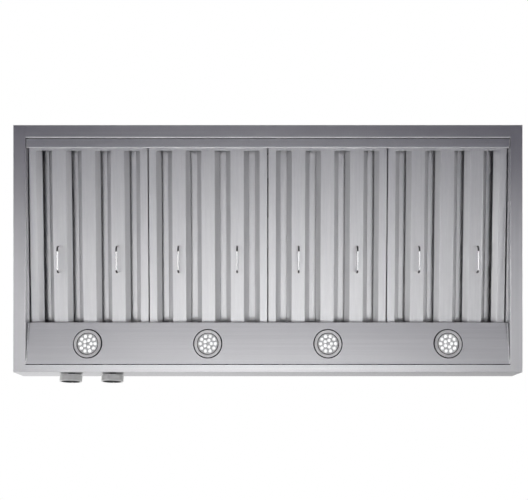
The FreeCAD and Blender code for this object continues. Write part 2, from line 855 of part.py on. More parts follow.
def blower_motor():
    # held between the two scroll housings, with an end cap at each
    body = new_body("blower_motor")
    bore = "axle_radius + axle_gap"
    cap = "motor_radius - motor_rib"
    half = "motor_length / 2"
    turned(
        body,
        [
            (bore, f"-({half})"),
            (cap, f"-({half})"),
            (cap, f"motor_band - {half}"),
            ("motor_radius", f"motor_band - {half}"),
            ("motor_radius", f"{half} - motor_band"),
            (cap, f"{half} - motor_band"),
            (cap, half),
            (bore, half),
        ],
    )
    seat_blower(body)


def blower_axle():
    body = new_body("blower_axle")
    half = "(motor_length / 2 + blower_sheet + wheel_side_gap + hub_length + axle_end)"
    turned(body, rectangle("0", "axle_radius", f"-{half}", half))
    seat_blower(body)


def plenum():
    # open box under the top panel that joins the two blower outlets to the duct
    body = new_body("plenum")
    half = "plenum_width / 2"
    outer = rectangle(f"-{half}", half, "-plenum_front", "-plenum_back")
    inner_half_wide = f"({half} - blower_sheet)"
    inner_back = "-(plenum_back + blower_sheet)"
    inner = rectangle(f"-{inner_half_wide}", inner_half_wide, "blower_sheet - plenum_front", inner_back)
    outlet_near = "motor_length / 2 + blower_sheet"
    outlet_far = "motor_length / 2 + scroll_width - blower_sheet"
    outlet_front = "blower_sheet - blower_from_wall"
    outlet_back = f"{scroll_wide} - blower_sheet - blower_from_wall"
    outlet = rectangle(outlet_near, outlet_far, outlet_front, outlet_back)
    floor = new_sketch(body, "XY_Plane", [outer, outlet, mirrored(outlet)], offset=scroll_top)
    pad(body, floor, "blower_sheet")
    pad(body, new_sketch(body, "XY_Plane", [outer, inner], offset=scroll_top), plenum_high)
    lip_half = f"({half} + plenum_flange)"
    lip_front = "-(plenum_front + plenum_flange)"
    lip = rectangle(f"-{lip_half}", lip_half, lip_front, "plenum_flange - plenum_back")
    top = new_sketch(body, "XY_Plane", [lip, inner], offset="body_height - sheet - blower_sheet")
    pad(body, top, "blower_sheet")


def duct_collar():
    body = new_body("duct_collar")
    bore = "collar_radius - collar_wall"
    turned(
        body,
        [
            (bore, "0"),
            ("collar_radius + collar_flange", "0"),
            ("collar_radius + collar_flange", "collar_flange_thick"),
            ("collar_radius", "collar_flange_thick"),
            ("collar_radius", "collar_height"),
            (bore, "collar_height"),
        ],
    )
    doc.recompute()
    hole = new_sketch(body, "YZ_Plane", circles=[("0", "spindle_up", "spindle_radius + spindle_gap")])
    pocket_through(body, hole)
    place(body, "0", f"-{duct_from_wall}", "body_height")


def damper_spindle():
    body = new_body("damper_spindle")
    half = "(collar_radius - spindle_gap)"
    circle = new_sketch(body, "YZ_Plane", circles=[("0", "0", "spindle_radius")])
    pad(body, circle, f"2 * {half}", "Symmetric")
    place(body, "0", f"-{duct_from_wall}", damper_up)


def damper_flap(label, side, knuckle_x):
    # half disc with two knuckles round the spindle; side is +1 towards the wall
    body = new_body(label)
    reach = "(collar_radius - collar_wall - flap_gap)"
    edge = f"({knuckle_radius} + knuckle_side_gap)"
    half_chord = f"sqrt({reach} * {reach} - {edge} * {edge})"
    way = "anticlockwise" if side > 0 else "clockwise"
    disc = [(half_chord, f"{side} * {edge}", reach, way), (f"-{half_chord}", f"{side} * {edge}")]
    pad(body, new_sketch(body, "XY_Plane", [disc]), "flap_sheet", "Symmetric")
    for end in (-1, 1):
        x = f"{end} * ({knuckle_x})"
        rings = [("0", "0", knuckle_radius), ("0", "0", knuckle_bore)]
        tab = rectangle(
            f"{x} - knuckle_length / 2",
            f"{x} + knuckle_length / 2",
            f"{side} * ({knuckle_bore} + knuckle_wall / 2)",
            f"{side} * ({edge} + flap_sheet)",
        )
        pad(body, new_sketch(body, "XY_Plane", [tab]), "flap_sheet", "Symmetric")
        pad(body, new_sketch(body, "YZ_Plane", circles=rings, offset=x), "knuckle_length", "Symmetric")
    place(body, "0", f"-{duct_from_wall}", damper_up)


def control_box():
    # open tray against the rear panel, with a cover whose lips lap over its top and bottom
    body = new_body("control_box")
    half = "box_wide / 2"
    top = "box_up + box_high"
    outer = rectangle(f"box_x - {half}", f"box_x + {half}", "box_up", top)
    left = f"box_x - {half} + box_sheet"
    right = f"box_x + {half} - box_sheet"
    inner = rectangle(left, right, "box_up + box_sheet", f"{top} - box_sheet")
    pad(body, new_sketch(body, "XZ_Plane", [outer], offset="sheet"), "box_sheet")
    pad(body, new_sketch(body, "XZ_Plane", [outer, inner], offset="sheet"), "box_deep")
    doc.recompute()
    wire_hole = ("box_x", "-(sheet + box_deep / 2)", "box_hole_radius")
    pocket(body, new_sketch(body, "XY_Plane", circles=[wire_hole], offset=top), "box_sheet")

    cover = new_body("control_box_cover")
    face = "sheet + box_deep"
    low = "box_up - box_cover_gap"
    high = f"{top} + box_cover_gap"
    profile = [
        (f"-({face} - box_cover_lip)", f"{high} + box_sheet"),
        (f"-({face} + box_sheet)", f"{high} + box_sheet"),
        (f"-({face} + box_sheet)", f"{low} - box_sheet"),
        (f"-({face} - box_cover_lip)", f"{low} - box_sheet"),
        (f"-({face} - box_cover_lip)", low),
        (f"-({face})", low),
        (f"-({face})", high),
        (f"-({face} - box_cover_lip)", high),
    ]
    pad(cover, new_sketch(cover, "YZ_Plane", [profile], offset="box_x"), "box_wide", "Symmetric")


def conduit_bushing():
    # the supply cable's way in through the top panel, with its locknut below the sheet
    body = new_body("conduit_bushing")
    shank = "conduit_hole_radius - conduit_gap"
    turned(
        body,
        [
            (f"{shank} - conduit_wall", "conduit_head"),
            ("conduit_head_radius", "conduit_head"),
            ("conduit_head_radius", "0"),
            (shank, "0"),
            (shank, "-sheet"),
            ("conduit_head_radius", "-sheet"),
            ("conduit_head_radius", "-sheet - conduit_nut"),
            (shank, "-sheet - conduit_nut"),
            (shank, "-conduit_shank"),
            (f"{shank} - conduit_wall", "-conduit_shank"),
        ],
    )
    place(body, "conduit_x", "-conduit_from_wall", "body_height")


def build_everything():
    for label, side in (("left_side_panel", -1), ("right_side_panel", 1)):
        side_panel(label, side)
    rear_panel()
    front_fascia()
    canopy_front()
    top_panel()
    light_panel()
    grease_trough()
    for index in range(filter_count):
        label = f"filter_{index + 1}"
        filter_frame(label + "_frame", index)
        front_slats(label + "_front_slats", index)
        rear_slats(label + "_rear_slats", index)
        filter_handles(label + "_handles", index)
    for index in range(lamp_count):
        lamp(index)
    control("fan", "fan_knob_x")
    control("light", "light_knob_x")
    for label, side in (("left", -1), ("right", 1)):
        scroll_housing(label + "_scroll_housing", side)
        inlet_ring(label + "_inlet_ring", side)
        fan_wheel(label + "_fan_wheel", side)
    blower_motor()
    blower_axle()
    plenum()
    duct_collar()
    damper_spindle()
    damper_flap("rear_damper_flap", 1, "knuckle_place")
    damper_flap("front_damper_flap", -1, "knuckle_place + knuckle_length + knuckle_side_gap")
    control_box()
    conduit_bushing()


def write_pieces():
    doc.recompute()
    failed = [o.Label for o in doc.Objects if "Invalid" in o.State or "Error" in o.State]
    bad = [p.Label for p in pieces if p.Shape.isNull() or not p.Shape.isValid()]
    if failed or bad:
        sys.exit(f"failed: {failed}, bad shapes: {bad}")
    os.makedirs("parts", exist_ok=True)
    for item in pieces:
        item.Shape.exportStep(f"parts/{item.Label}.step")
    print(len(pieces), "pieces written")


build_everything()
write_pieces()
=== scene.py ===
import json
import math

import bmesh
import bpy
from mathutils import Matrix, Vector


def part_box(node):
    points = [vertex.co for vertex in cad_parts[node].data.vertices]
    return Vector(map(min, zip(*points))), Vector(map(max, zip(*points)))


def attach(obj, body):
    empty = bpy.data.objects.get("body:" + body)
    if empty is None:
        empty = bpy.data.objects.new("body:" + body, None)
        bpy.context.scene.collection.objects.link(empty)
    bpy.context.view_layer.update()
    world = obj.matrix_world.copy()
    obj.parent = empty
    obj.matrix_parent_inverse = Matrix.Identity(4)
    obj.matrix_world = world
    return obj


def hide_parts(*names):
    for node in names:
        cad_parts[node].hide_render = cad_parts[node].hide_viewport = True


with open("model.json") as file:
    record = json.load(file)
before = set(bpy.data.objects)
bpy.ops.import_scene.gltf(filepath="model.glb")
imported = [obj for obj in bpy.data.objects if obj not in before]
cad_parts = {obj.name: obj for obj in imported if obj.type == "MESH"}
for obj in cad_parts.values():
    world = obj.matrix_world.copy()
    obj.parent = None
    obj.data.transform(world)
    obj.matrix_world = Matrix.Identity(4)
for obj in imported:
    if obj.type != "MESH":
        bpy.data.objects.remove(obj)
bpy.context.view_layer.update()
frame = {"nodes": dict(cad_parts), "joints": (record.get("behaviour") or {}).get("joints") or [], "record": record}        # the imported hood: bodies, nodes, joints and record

print("hood frame loaded:", len(frame["nodes"]), "nodes")


# Shader maths

class Wire:
    # a socket that takes part in plain sums
    def __init__(self, finish, socket):
        self.finish = finish
        self.socket = socket

    def maths(self, operation, first, second):
        return self.finish.node("ShaderNodeMath", {"operation": operation}, {0: first, 1: second})

    def __add__(self, other):
        return self.maths("ADD", self, other)

    def __sub__(self, other):
        return self.maths("SUBTRACT", self, other)

    def __mul__(self, other):
        return self.maths("MULTIPLY", self, other)

    def __pow__(self, other):
        return self.maths("POWER", self, other)

    def __gt__(self, other):
        return self.maths("GREATER_THAN", self, other)

    def __abs__(self):
        return self.maths("ABSOLUTE", self, 0)

    __radd__ = __add__


class Finish:
    # one material, or the world, and its nodes
    def __init__(self, owner):
        owner.use_nodes = True
        self.owner = owner
        self.tree = owner.node_tree
        self.tree.nodes.clear()

    def node(self, kind, settings=None, inputs=None, output=0):
        made = self.tree.nodes.new(kind)
        for key, value in (settings or {}).items():
            setattr(made, key, value)
        for key, value in (inputs or {}).items():
            if isinstance(value, Wire):
                self.tree.links.new(value.socket, made.inputs[key])
            else:
                made.inputs[key].default_value = value
        return Wire(self, made.outputs[output]) if made.outputs else made

    def mix(self, share, first, second):
        return self.node("ShaderNodeMix", {"data_type": "RGBA"}, {0: share, 6: first, 7: second}, output=2)

    def place(self, location=(0, 0, 0), rotation=(0, 0, 0)):
        # object coordinates, centred and turned on a piece
        point = self.node("ShaderNodeTexCoord", output="Object")
        inputs = {"Vector": point, "Location": location, "Rotation": rotation}
        return self.node("ShaderNodeMapping", {"vector_type": "TEXTURE"}, inputs)

    def part(self, point, axis):
        # one coordinate of a point
        return self.node("ShaderNodeSeparateXYZ", inputs={0: point}, output="xyz".index(axis))

    def ramp(self, value, start, end, kind="LINEAR"):
        # 0 at the start, 1 at the end
        inputs = {"Value": value, "From Min": start, "From Max": end}
        return self.node("ShaderNodeMapRange", {"interpolation_type": kind}, inputs)

    def lightPath(self, ray):
        return self.node("ShaderNodeLightPath", output=ray)

    def noise(self, point, scale, detail=2.0):
        # scale is cells per metre, one number or three
        scale = scale if isinstance(scale, tuple) else (scale, scale, scale)
        stretched = self.node("ShaderNodeMapping", inputs={"Vector": point, "Scale": scale})
        return self.node("ShaderNodeTexNoise", inputs={"Vector": stretched, "Scale": 1.0, "Detail": detail})

    def bump(self, height, strength, distance):
        inputs = {"Height": height, "Strength": strength, "Distance": distance}
        return self.node("ShaderNodeBump", inputs=inputs)

    def surface(self, inputs):
        shader = self.node("ShaderNodeBsdfPrincipled", inputs=inputs)
        self.node("ShaderNodeOutputMaterial", inputs={"Surface": shader})
        return self.owner


def newFinish(name):
    return Finish(bpy.data.materials.new(name))


# Finishes

steelGrain = {"hair": (1300, 5), "band": (210, 1.3), "wipe": (14, 5)}    # cells per metre, across and along


def brushedSteel(name, grain, look):
    # hair lines and wider bands along the grain, with faint wiping marks over them
    finish = newFinish(name)
    point = finish.place()

    def along(across, length):
        return tuple(length if axis == grain else across for axis in "xyz")

    hair = finish.noise(point, along(*steelGrain["hair"]), 3.0)
    band = finish.noise(point, along(*steelGrain["band"]))
    wipe = finish.noise(point, along(*steelGrain["wipe"]), 3.0)
    tone = 0.5 + (hair - 0.5) * look["hair"] + (band - 0.5) * look["band"]
    tone = tone + (wipe - 0.5) * look["wipe"]
    rough = look["rough"] + (hair - 0.5) * 0.10 + (band - 0.5) * 0.06 + (wipe - 0.5) * 0.06
    return finish.surface({
        "Base Color": finish.mix(tone, look["dark"], look["light"]),
        "Metallic": 1.0,
        "Roughness": rough,
        "Specular Tint": (0.65, 0.65, 0.66, 1),
        "Normal": finish.bump(hair + band, look["bump"], 0.0004),
    })


canopyLook = {
    "dark": (0.58, 0.577, 0.595, 1), "light": (0.84, 0.838, 0.84, 1), "rough": 0.23,
    "hair": 0.45, "band": 0.5, "wipe": 0.15, "bump": 0.02,
}
filterLook = {
    "dark": (0.64, 0.64, 0.65, 1), "light": (0.90, 0.90, 0.898, 1), "rough": 0.32,
    "hair": 0.4, "band": 0.4, "wipe": 0.10, "bump": 0.012,
}
steelAlongX = brushedSteel("canopySteelAlongX", "x", canopyLook)
steelAlongY = brushedSteel("canopySteelAlongY", "y", canopyLook)
filterSteel = brushedSteel("filterSteel", "y", filterLook)


def turnedSteel(name, centre, turn, look):
    # fine lathe rings about the piece's own axis
    finish = newFinish(name)
    point = finish.place(centre, turn)
    x = finish.part(point, "x")
    y = finish.part(point, "y")
    z = finish.part(point, "z")
    reach = (x * x + y * y) ** 0.5
    lathe = finish.node(
        "ShaderNodeTexNoise", {"noise_dimensions": "1D"},
        {"W": (reach + z) * look["rings"], "Scale": 1.0, "Detail": 3.0},
    )
    smear = finish.noise(point, 60, 2.0)
    tone = 0.5 + (lathe - 0.5) * 1.2 + (smear - 0.5) * 0.2
    return finish.surface({
        "Base Color": finish.mix(tone, look["dark"], look["light"]),
        "Metallic": look["metal"],
        "Roughness": look["rough"] + (lathe - 0.5) * 0.16 + (smear - 0.5) * 0.08,
        "Normal": finish.bump(lathe, look["bump"], 0.0003),
    })


def wireSteel(name, look, centre, turn):
    # bright drawn wire, with painted shade darkening it at the bends
    finish = newFinish(name)
    point = finish.place(centre, turn)
    draw = finish.noise(point, (900, 40, 900), 2.0)
    mark = finish.noise(point, 160, 3.0)
    stray = (mark - 0.5) * 0.002
    reach = abs(finish.part(point, "y") - look["middle"]) + stray
    drop = finish.part(point, "z") + stray
    ends = finish.ramp(reach, look["brightTo"], look["darkFrom"], "SMOOTHSTEP")
    # painted shade: the wire's bends are painted dark and rougher
    paintedBendShade = ends * finish.ramp(drop, look["legFrom"], look["bendTo"], "SMOOTHSTEP")
    tone = 0.5 + (draw - 0.5) * 0.6 + (mark - 0.5) * 0.3
    bright = finish.mix(tone, (0.88, 0.88, 0.88, 1), (0.98, 0.98, 0.98, 1))
    return finish.surface({
        "Base Color": finish.mix(paintedBendShade, bright, (0.09, 0.085, 0.085, 1)),
        "Metallic": 1.0,
        "Roughness": 0.10 + paintedBendShade * 0.22 + (mark - 0.5) * 0.06,
        "Normal": finish.bump(draw, 0.04, 0.0002),
    })


def galvanisedSheet(name):
    # zinc spangle: flat crystal patches of slightly different grey
    finish = newFinish(name)
    point = finish.place()
    stretched = finish.node("ShaderNodeMapping", inputs={"Vector": point, "Scale": (75, 75, 75)})
    patch = finish.node("ShaderNodeTexVoronoi", inputs={"Vector": stretched, "Scale": 1.0}, output="Color")
    grey = finish.part(patch, "x")
    cloud = finish.noise(point, 22, 3.0)
    tone = grey * 0.7 + cloud * 0.3
    return finish.surface({
        "Base Color": finish.mix(tone, (0.42, 0.44, 0.46, 1), (0.68, 0.70, 0.72, 1)),
        "Metallic": 1.0,
        "Roughness": 0.40 + (grey - 0.5) * 0.18 + (cloud - 0.5) * 0.10,
        "Normal": finish.bump(cloud, 0.05, 0.0006),
    })


def castAluminium(name):
    finish = newFinish(name)
    point = finish.place()
    grit = finish.noise(point, 1100, 3.0)
    cloud = finish.noise(point, 45, 2.0)
    return finish.surface({
        "Base Color": finish.mix(cloud, (0.50, 0.51, 0.52, 1), (0.68, 0.69, 0.70, 1)),
        "Metallic": 1.0,
        "Roughness": 0.46 + (grit - 0.5) * 0.2,
        "Normal": finish.bump(grit, 0.2, 0.0003),
    })


def palePaint(name):
    # the pointer's hard white paint, a little worn
    finish = newFinish(name)
    point = finish.place()
    worn = finish.noise(point, 900, 3.0)
    return finish.surface({
        "Base Color": finish.mix(worn, (0.62, 0.62, 0.60, 1), (0.86, 0.86, 0.84, 1)),
        "Roughness": 0.36 + (worn - 0.5) * 0.2,
        "Normal": finish.bump(worn, 0.1, 0.0002),
    })


def satinBlack(name, grain, rough, sheen=0.25):
    # sprayed or moulded black with a fine peel and a little dust
    finish = newFinish(name)
    point = finish.place()
    peel = finish.noise(point, grain, 2.0)
    dust = finish.noise(point, 35, 4.0)
    return finish.surface({
        "Base Color": finish.mix(dust, (0.012, 0.012, 0.013, 1), (0.040, 0.040, 0.043, 1)),
        "Specular IOR Level": sheen,
        "Roughness": rough + (dust - 0.5) * 0.16,
        "Normal": finish.bump(peel, 0.12, 0.0003),
    })


def frostedLens(name):
    finish = newFinish(name)
    point = finish.place()
    frost = finish.noise(point, 1500, 2.0)
    cloud = finish.noise(point, 70, 2.0)
    return finish.surface({
        "Base Color": finish.mix(cloud, (0.64, 0.64, 0.65, 1), (0.74, 0.74, 0.75, 1)),
        "Roughness": 0.28 + (frost - 0.5) * 0.14,
        "Coat Weight": 0.4,
        "Emission Color": finish.mix(cloud, (0.80, 0.80, 0.82, 1), (0.90, 0.90, 0.92, 1)),
        "Emission Strength": 0.12,
        "Normal": finish.bump(frost, 0.08, 0.0002),
    })


def emitterWhite(name):
    # the small bright domes under the lens
    finish = newFinish(name)
    point = finish.place()
    cloud = finish.noise(point, 400, 2.0)
    return finish.surface({
        "Base Color": finish.mix(cloud, (0.90, 0.90, 0.88, 1), (0.98, 0.98, 0.96, 1)),
        "Roughness": 0.14 + (cloud - 0.5) * 0.08,
        "Emission Color": finish.mix(cloud, (0.92, 0.94, 1.0, 1), (1.0, 1.0, 0.98, 1)),
        "Emission Strength": 0.9,
    })


bezelLook = {
    "dark": (0.58, 0.575, 0.57, 1), "light": (0.84, 0.835, 0.825, 1), "rough": 0.26,
    "metal": 1.0, "rings": 1600, "bump": 0.05,
}
knobLook = {       # under satin lacquer
    "dark": (0.64, 0.64, 0.635, 1), "light": (0.95, 0.95, 0.94, 1), "rough": 0.40,
    "metal": 0.5, "rings": 800, "bump": 0.4,
}
galvanised = galvanisedSheet("galvanisedSheet")
canMetal = castAluminium("lampCanMetal")
motorPaint = satinBlack("motorPaint", 700, 0.42)
switchBody = satinBlack("switchBody", 1800, 0.55)
knobInlay = satinBlack("knobInlay", 2200, 0.70, 0.06)
pointerPaint = palePaint("pointerPaint")
# painted shade: black rubber for the strips and rings that stand in for the shadows of seams and gaps
paintedShadeSeal = satinBlack("paintedShadeSeal", 1500, 0.75, 0.08)
lensFrost = frostedLens("lensFrost")
emitters = emitterWhite("emitterDomes")
print("finishes made:", len(bpy.data.materials))


# Modelling helpers

def pickOnly(piece):
    bpy.ops.object.select_all(action="DESELECT")
    piece.select_set(True)
    bpy.context.view_layer.objects.active = piece


def editAll(piece):
    pickOnly(piece)
    bpy.ops.object.mode_set(mode="EDIT")
    bpy.ops.mesh.select_mode(type="EDGE")
    bpy.ops.mesh.select_all(action="SELECT")


def evenShade(piece, angle):
    # smooth over the rounded edges, while broad faces stay flat beside them
    pickOnly(piece)
    bpy.ops.object.shade_smooth_by_angle(angle=math.radians(angle))
    even = piece.modifiers.new("even", "WEIGHTED_NORMAL")
    even.keep_sharp = True
    bpy.ops.object.modifier_apply(modifier=even.name)
    return piece


def closeUp(piece, angle=35):
    # welds the seams, turns the faces outwards and shades by angle
    editAll(piece)
    bpy.ops.mesh.remove_doubles(threshold=1e-6)
    bpy.ops.mesh.normals_make_consistent(inside=False)
    bpy.ops.object.mode_set(mode="OBJECT")
    return evenShade(piece, angle)


def pickEdges(piece, test):
    # in edit mode: selects the edges that pass the test and says how many there are
    shape = bmesh.from_edit_mesh(piece.data)
    found = 0
    for edge in shape.edges:
        wanted = test(edge)
        edge.select_set(wanted)
        found += wanted
    shape.select_flush_mode()
    bmesh.update_edit_mesh(piece.data)
    return found


def moveCorners(piece, test, move):
    # in edit mode: shifts the corners that pass the test
    bpy.ops.mesh.select_all(action="DESELECT")
    bpy.ops.mesh.select_mode(type="VERT")
    shape = bmesh.from_edit_mesh(piece.data)
    for corner in shape.verts:
        if test(corner.co):
            corner.select_set(True)
    bmesh.update_edit_mesh(piece.data)
    bpy.ops.transform.translate(value=move)
    bpy.ops.mesh.select_mode(type="EDGE")


def copyOf(piece, name):
    twin = bpy.data.objects.new(name, piece.data.copy())
    bpy.context.scene.collection.objects.link(twin)
    return twin


def settle(piece, matrix):
    # puts the place into the mesh
    piece.data.transform(matrix)
    piece.data.update()
    return piece


def joined(pieces, name):
    bpy.ops.object.select_all(action="DESELECT")
    for piece in pieces:
        piece.select_set(True)
    bpy.context.view_layer.objects.active = pieces[0]
    bpy.ops.object.join()
    pieces[0].name = name
    return pieces[0]


def dress(piece, finish, body, slot, *nodes):
    piece.data.materials.clear()
    piece.data.materials.append(finish)
    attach(piece, body)
    if nodes:
        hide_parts(*nodes)
    return piece


def startRing(name, sides, radius, place):
    # a plain circle in edit mode, all selected, ready to be drawn out
    bpy.ops.object.select_all(action="DESELECT")
    bpy.ops.mesh.primitive_circle_add(vertices=sides, radius=radius, location=place, fill_type="NOTHING")
    piece = bpy.context.object
    piece.name = name
    bpy.ops.object.transform_apply(location=True, rotation=True, scale=True)
    editAll(piece)
    return piece


def turnedPiece(name, rings, sides, capped=False, angle=35):
    # a circle drawn out from ring to ring, each a radius and a height
    radius, height = rings[0]
    piece = startRing(name, sides, radius, (0, 0, height))
    if capped:
        bpy.ops.mesh.edge_face_add()
        pickEdges(piece, lambda edge: True)
    for wide, high in rings[1:]:
        bpy.ops.mesh.extrude_edges_move(TRANSFORM_OT_translate={"value": (0, 0, high - height)})
        if wide == 0:
            bpy.ops.mesh.merge(type="CENTER")
            break
        share = wide / radius
        bpy.ops.transform.resize(value=(share, share, 1), center_override=(0, 0, high))
        radius, height = wide, high
    bpy.ops.object.mode_set(mode="OBJECT")
    return closeUp(piece, angle)


edgeRules = {       # which edges of a sheet are bends and which are cut, in metres and degrees
    "bendLength": 0.04, "bendAngles": (6, 170), "bendBreadth": 0.0022,
    "cutLength": 0.02, "cutAngles": (50, 130),
}


def softenedSheet(node, bend, rim, moves=()):
    # a copy of a folded sheet with its bends rounded and its cut edges eased
    piece = bpy.data.objects.new(node + "_sheet", frame["nodes"][node].data.copy())
    bpy.context.scene.collection.objects.link(piece)
    pickOnly(piece)
    bpy.ops.mesh.customdata_custom_splitnormals_clear()
    editAll(piece)
    bpy.ops.mesh.remove_doubles(threshold=2e-6)
    bpy.ops.mesh.dissolve_limited(angle_limit=math.radians(0.4))
    for test, move in moves:
        moveCorners(piece, test, move)

    def breadth(face, edge):
        start = edge.verts[0].co
        line = (edge.verts[1].co - start).normalized()
        return max(((corner.co - start).cross(line)).length for corner in face.verts)

    def isFold(edge, shortest, angles):
        if len(edge.link_faces) != 2 or edge.calc_length() < shortest:
            return False
        return math.radians(angles[0]) < edge.calc_face_angle(0) < math.radians(angles[1])

    def isBend(edge):
        if not isFold(edge, edgeRules["bendLength"], edgeRules["bendAngles"]):
            return False
        return all(breadth(face, edge) > edgeRules["bendBreadth"] for face in edge.link_faces)

    def isCut(edge):
        return isFold(edge, edgeRules["cutLength"], edgeRules["cutAngles"])

    if pickEdges(piece, isBend):
        bpy.ops.mesh.bevel(offset=bend, segments=3, affect="EDGES", clamp_overlap=True)
    if pickEdges(piece, isCut):
        bpy.ops.mesh.bevel(offset=rim, segments=3, affect="EDGES", clamp_overlap=True)
    bpy.ops.object.mode_set(mode="OBJECT")
    return evenShade(piece, 40)


def halfRound(name, length, radius):
    # a straight half-round strip along X, flat side up
    bpy.ops.object.select_all(action="DESELECT")
    turned = (0, math.pi / 2, 0)
    bpy.ops.mesh.primitive_cylinder_add(vertices=24, radius=radius, depth=length, rotation=turned)
    piece = bpy.context.object
    piece.name = name
    bpy.ops.object.transform_apply(location=True, rotation=True, scale=True)
    editAll(piece)
    bpy.ops.mesh.bisect(plane_co=(0, 0, 0), plane_no=(0, 0, 1), use_fill=True, clear_outer=True)
    pickEdges(piece, lambda edge: abs(edge.verts[0].co.x - edge.verts[1].co.x) < 1e-6)
    bpy.ops.mesh.bevel(offset=radius * 0.3, segments=2, affect="EDGES")
    bpy.ops.object.mode_set(mode="OBJECT")
    return closeUp(piece, 40)


# Canopy sheets

canopySheets = {
    "bend": 0.0014, "rim": 0.00056, "troughBend": 0.0042, "lightEdge": -0.571, "panelEnd": 0.580,
    "alongX": ["rear_panel", "front_fascia", "canopy_front", "top_panel", "light_panel", "grease_trough"],
    "alongY": ["left_side_panel", "right_side_panel"],
}
lightEdge, panelEnd = canopySheets["lightEdge"], canopySheets["panelEnd"]
seamShift, endShift = -0.0035, 0.0008
sheetMoves = {      # the light panel's front seam a little nearer, and its ends up to the sides
    "front_fascia": [(lambda at: at.y > lightEdge - 0.0005 and at.z < 0.002, (0, seamShift, 0))],
    "light_panel": [
        (lambda at: abs(at.y - lightEdge) < 0.0015 and at.z < 0.003, (0, seamShift, -0.0005)),
        (lambda at: at.x > panelEnd - 0.0005, (endShift, 0, 0)),
        (lambda at: at.x < 0.0005 - panelEnd, (-endShift, 0, 0)),
    ],
}
for finish, names in ((steelAlongX, canopySheets["alongX"]), (steelAlongY, canopySheets["alongY"])):
    for node in names:
        bend = canopySheets["troughBend" if node == "grease_trough" else "bend"]
        sheet = softenedSheet(node, bend, canopySheets["rim"], sheetMoves.get(node, ()))
        dress(sheet, finish, "canopy", "canopy_steel", node)
print("canopy sheets softened")


# Rolled edges of the rims, and black seal strips along the trough and the light panel that paint the shade of
# the seams

edgeRolls = {       # length, radius, middle, turn and rise in degrees
    "rear_rim_roll": (1.160, 0.0020, (0, -0.0300, 0.0014), 0, 0),
    "left_rim_roll": (0.540, 0.0012, (-0.5812, -0.302, 0.0009), 90, 0),
    "right_rim_roll": (0.540, 0.0012, (0.5812, -0.302, 0.0009), 90, 0),
    "left_panel_roll": (0.094, 0.0014, (-0.5786, -0.5240, 0.0081), 90, 8.2),
    "right_panel_roll": (0.094, 0.0014, (0.5786, -0.5240, 0.0081), 90, 8.2),
}
# painted shade: black strips laid along the seams where only shade falls
shadeSealStrips = {
    "trough_seal": (1.160, 0.0007, (0, -0.0327, 0.0012), 0, 0),
    "light_panel_seal": (1.160, 0.0010, (0, -0.5735, 0.0011), 0, 0),
    "left_trough_seal": (0.022, 0.0008, (-0.5796, -0.0440, 0.0014), 90, 0),
    "right_trough_seal": (0.022, 0.0008, (0.5796, -0.0440, 0.0014), 90, 0),
}
for name, (length, radius, at, turn, rise) in {**edgeRolls, **shadeSealStrips}.items():
    strip = halfRound(name, length, radius)
    raised = Matrix.Rotation(math.radians(rise), 4, "X") @ Matrix.Rotation(math.radians(turn), 4, "Z")
    settle(strip, Matrix.Translation(at) @ raised)
    if name in shadeSealStrips:
        dress(strip, paintedShadeSeal, "canopy", "switch_plastic")
    else:
        dress(strip, steelAlongY if turn else steelAlongX, "canopy", "canopy_steel")
print("rolled rims and seals made")


# Filters

filterSheets = {
    "frame": 0.0020, "slats": 0.0008, "rim": 0.00025, "thick": 0.026, "tilt": math.radians(2.6),
}
handleWires = {
    "along": -0.286, "halfSpan": 0.031, "drop": 0.0228, "wire": 0.0020, "bend": 0.006,
    "face": 0.0008, "bead": 0.0034, "sides": 14, "steps": 7,
}
# where the wire's bright middle ends and where the painted shade at its bends begins, in metres
wireLook = {"middle": -0.2885, "brightTo": 0.0215, "darkFrom": 0.0240, "legFrom": -0.0120, "bendTo": -0.0165}


def handleLoop(name):
    # one bent wire under a slat: down a leg, round a bend, along the bar and up again
    size = handleWires
    legs = size["drop"] - size["bend"]
    front = size["along"] - size["halfSpan"]
    rear = size["along"] + size["halfSpan"]
    piece = startRing(name, size["sides"], size["wire"], (0, rear, size["face"]))

    def draw(x, y, z):
        bpy.ops.mesh.extrude_edges_move(TRANSFORM_OT_translate={"value": (x, y, z)})

    def bendAt(y, z):
        bpy.ops.mesh.spin(steps=size["steps"], angle=math.pi / 2, center=(0, y, z), axis=(1, 0, 0))

    legEnd = size["face"] - legs
    draw(0, 0, -legs)
    bendAt(rear - size["bend"], legEnd)
    draw(0, 2 * size["bend"] - 2 * size["halfSpan"], 0)
    bendAt(front + size["bend"], legEnd)
    draw(0, 0, legs)
    bpy.ops.object.mode_set(mode="OBJECT")
    closeUp(piece, 60)
    beads = []
    wide = size["bead"]
    beadRings = [(wide, 0), (wide * 0.92, -0.0007), (wide * 0.74, -0.0014), (size["wire"], -0.0021)]
    for y in (front, rear):
        bead = turnedPiece("weldBead", beadRings, size["sides"], capped=True)
        settle(bead, Matrix.Translation((0, y, size["face"])))
        beads.append(bead)
    return joined([piece] + beads, name)


